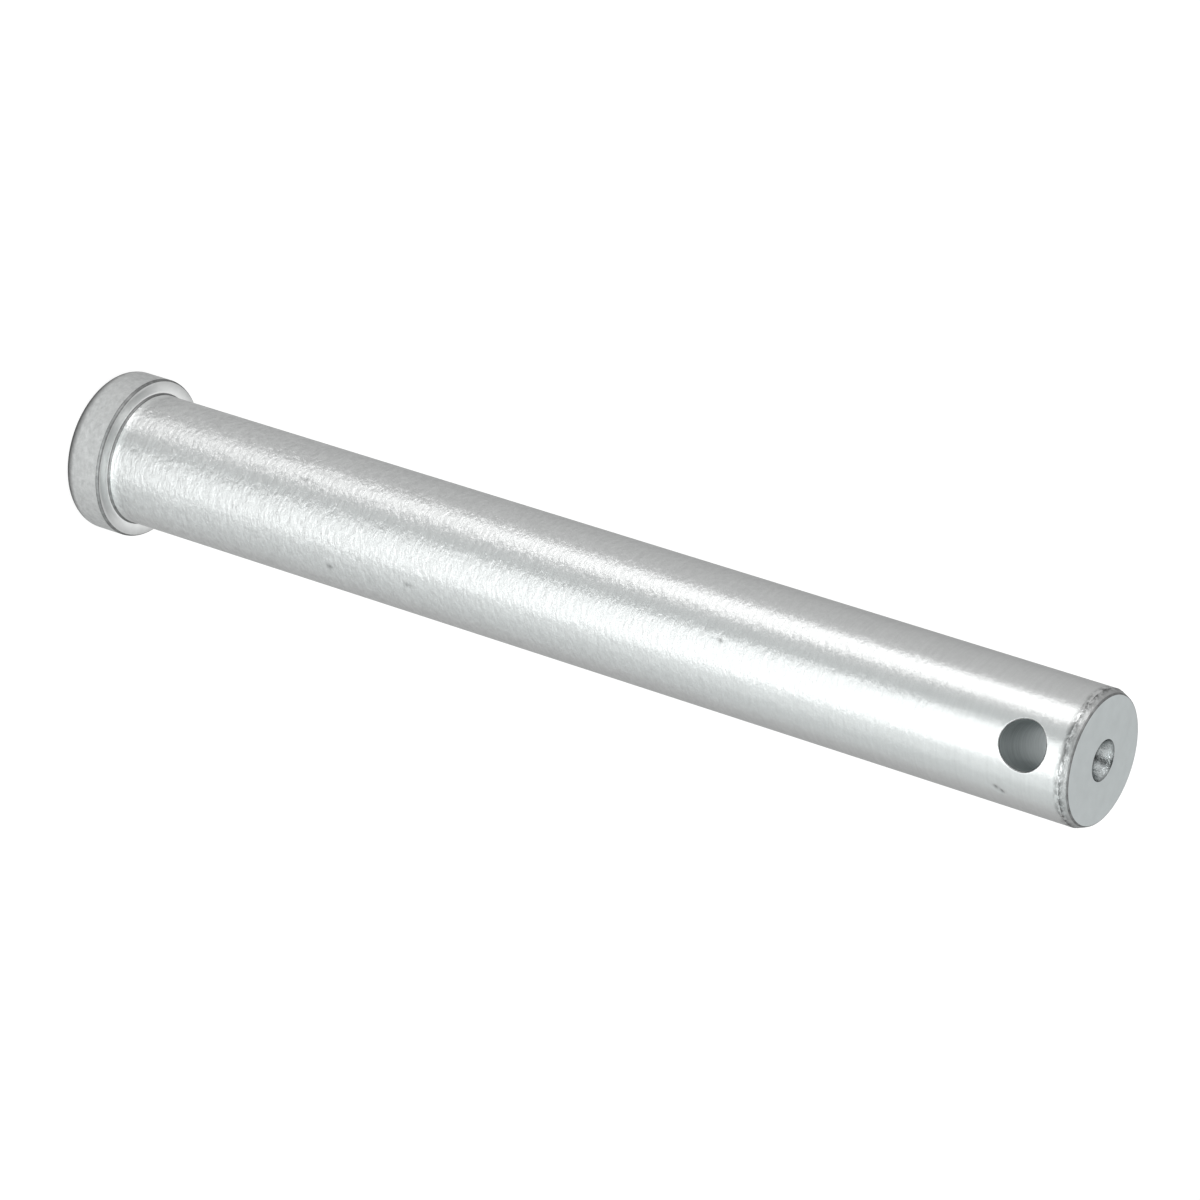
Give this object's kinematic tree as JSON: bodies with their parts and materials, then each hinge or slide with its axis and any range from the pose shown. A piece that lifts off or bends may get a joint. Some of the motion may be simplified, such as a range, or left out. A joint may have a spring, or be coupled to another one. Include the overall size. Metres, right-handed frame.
{
  "type": "clevis pin",
  "caption": "Turned steel clevis pin: round flat head, plain shank, chamfered point and a cross hole through the shank near the point.",
  "frame": {"origin": "centre of the head's outer face, on which the pin stands", "axes": "+Z along the shank from the head to the drilled point, +Y along the cross hole, +X completes the right-handed frame"},
  "size_m": [0.031, 0.031, 0.2196],
  "materials": {
    "zinc_plated_steel": "bright zinc plate over turned steel, with fine turning marks, light scuffs and small dings"
  },
  "bodies": {
    "root": {"clevis_pin": "zinc_plated_steel"}
  },
  "joints": []
}
